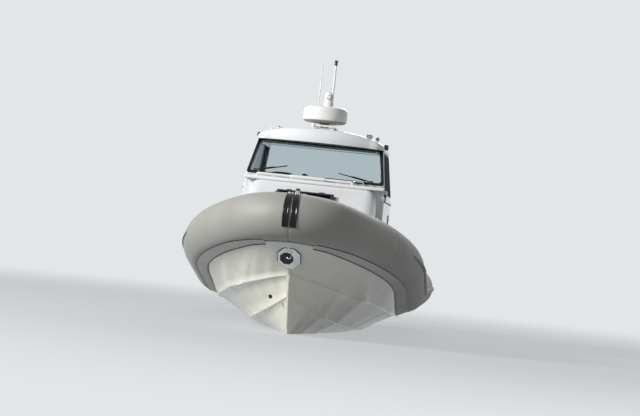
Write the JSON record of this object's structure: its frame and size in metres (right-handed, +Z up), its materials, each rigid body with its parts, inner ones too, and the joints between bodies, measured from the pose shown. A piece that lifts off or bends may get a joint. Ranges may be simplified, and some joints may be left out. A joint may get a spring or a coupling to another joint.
{
  "type": "cabin rigid inflatable boat",
  "caption": "Cabin rigid inflatable boat: deep-V hull, inflatable collar, open-backed wheelhouse, hinged hatch and lids, roof mast gear and steerable tilting sterndrive.",
  "frame": {"origin": "on the centreline and the running waterline, at the after end of the wheelhouse", "axes": "+X to port, +Y towards the stern, +Z up"},
  "size_m": [2.9848, 8.4093, 3.928],
  "materials": {
    "black_plastic": "black plastic",
    "clear_glass": "lightly tinted safety glass",
    "collar_fabric": "mid-grey coated fabric, satin",
    "deck_grip": "light grey moulded non-slip",
    "drive_paint": "dark grey paint",
    "engine_iron": "painted iron",
    "gelcoat": "white gelcoat, gloss",
    "rubber_black": "black moulded rubber, semi-gloss",
    "smoked_glass": "smoked safety glass",
    "stainless": "polished stainless steel",
    "upholstery": "dark grey marine upholstery",
    "white_plastic": "white plastic"
  },
  "bodies": {
    "boat": {"bow_eye": "stainless", "bow_post": "stainless", "bulkhead_front": "gelcoat", "cabin_roof": "gelcoat", "cabin_side_port": "gelcoat", "cabin_side_starboard": "gelcoat", "camera_turret": "white_plastic", "coachroof": "gelcoat", "coaming_port": "gelcoat", "coaming_starboard": "gelcoat", "collar_port": "collar_fabric", "collar_starboard": "collar_fabric", "dashboard": "black_plastic", "drive_bracket": "drive_paint", "engine_block": "engine_iron", "foredeck": "gelcoat", "helm_shaft": "stainless", "hull": "gelcoat", "light_pole": "white_plastic", "mast_base": "gelcoat", "nose_pad_port": "rubber_black", "nose_pad_starboard": "rubber_black", "position_antenna": "white_plastic", "radome": "white_plastic", "roof_rail_port": "stainless", "roof_rail_starboard": "stainless", "searchlight": "white_plastic", "seat_middle": "upholstery", "seat_plinth": "white_plastic", "seat_port": "upholstery", "seat_starboard": "upholstery", "side_deck_port": "deck_grip", "side_deck_starboard": "deck_grip", "side_glass_port": "smoked_glass", "side_glass_starboard": "smoked_glass", "sole": "deck_grip", "steer_lug_lower": "drive_paint", "steer_lug_upper": "drive_paint", "stem_plate": "stainless", "strake_port": "rubber_black", "strake_starboard": "rubber_black", "transom_board": "gelcoat", "whip_antenna": "white_plastic", "windscreen_frame": "gelcoat", "windscreen_glass": "clear_glass"},
    "anchor_lid": {"anchor_lid": "gelcoat"},
    "fore_hatch": {"fore_hatch": "smoked_glass"},
    "engine_box": {"engine_box": "gelcoat", "engine_cushion": "upholstery"},
    "helm_wheel": {"helm_wheel": "black_plastic"},
    "drive_yoke": {"steer_ring": "drive_paint"},
    "drive_leg": {"drive_leg": "drive_paint"},
    "propeller_fore": {"propeller_fore": "stainless"},
    "propeller_aft": {"propeller_aft": "stainless"}
  },
  "joints": [
    {"name": "anchor_lid_hinge", "type": "hinge", "parent": "boat", "child": "anchor_lid", "pos_m": [0, -3.61947, 1.12587], "axis": [-1, 0, 0], "range_deg": [0, 85]},
    {"name": "fore_hatch_hinge", "type": "hinge", "parent": "boat", "child": "fore_hatch", "pos_m": [-0.07, -2.70021, 1.34364], "axis": [1, 0, 0], "range_deg": [0, 75]},
    {"name": "engine_box_hinge", "type": "hinge", "parent": "boat", "child": "engine_box", "pos_m": [0, 1.53, 0.3604], "axis": [1, 0, 0], "range_deg": [0, 65]},
    {"name": "steering", "type": "hinge", "parent": "boat", "child": "drive_yoke", "pos_m": [0, 3.12, 0.205], "axis": [0, 0, 1], "range_deg": [-25, 25]},
    {"name": "drive_tilt", "type": "hinge", "parent": "drive_yoke", "child": "drive_leg", "pos_m": [0, 3.12, 0.205], "axis": [1, 0, 0], "range_deg": [0, 40]},
    {"name": "helm_turn", "type": "hinge", "parent": "boat", "child": "helm_wheel", "pos_m": [-0.42, -1.26328, 1.63187], "axis": [0, 0.9536, 0.3012], "range_deg": [-450, 450]},
    {"name": "propeller_fore_spin", "type": "hinge", "parent": "drive_leg", "child": "propeller_fore", "pos_m": [0, 3.437, -0.33], "axis": [0, 1, 0], "continuous": true},
    {"name": "propeller_aft_spin", "type": "hinge", "parent": "drive_leg", "child": "propeller_aft", "pos_m": [0, 3.491, -0.33], "axis": [0, 1, 0], "continuous": true}
  ],
  "couplings": [
    {"joint": "propeller_aft_spin", "follows": "propeller_fore_spin", "ratio": -1},
    {"joint": "helm_turn", "follows": "steering", "ratio": -16}
  ]
}
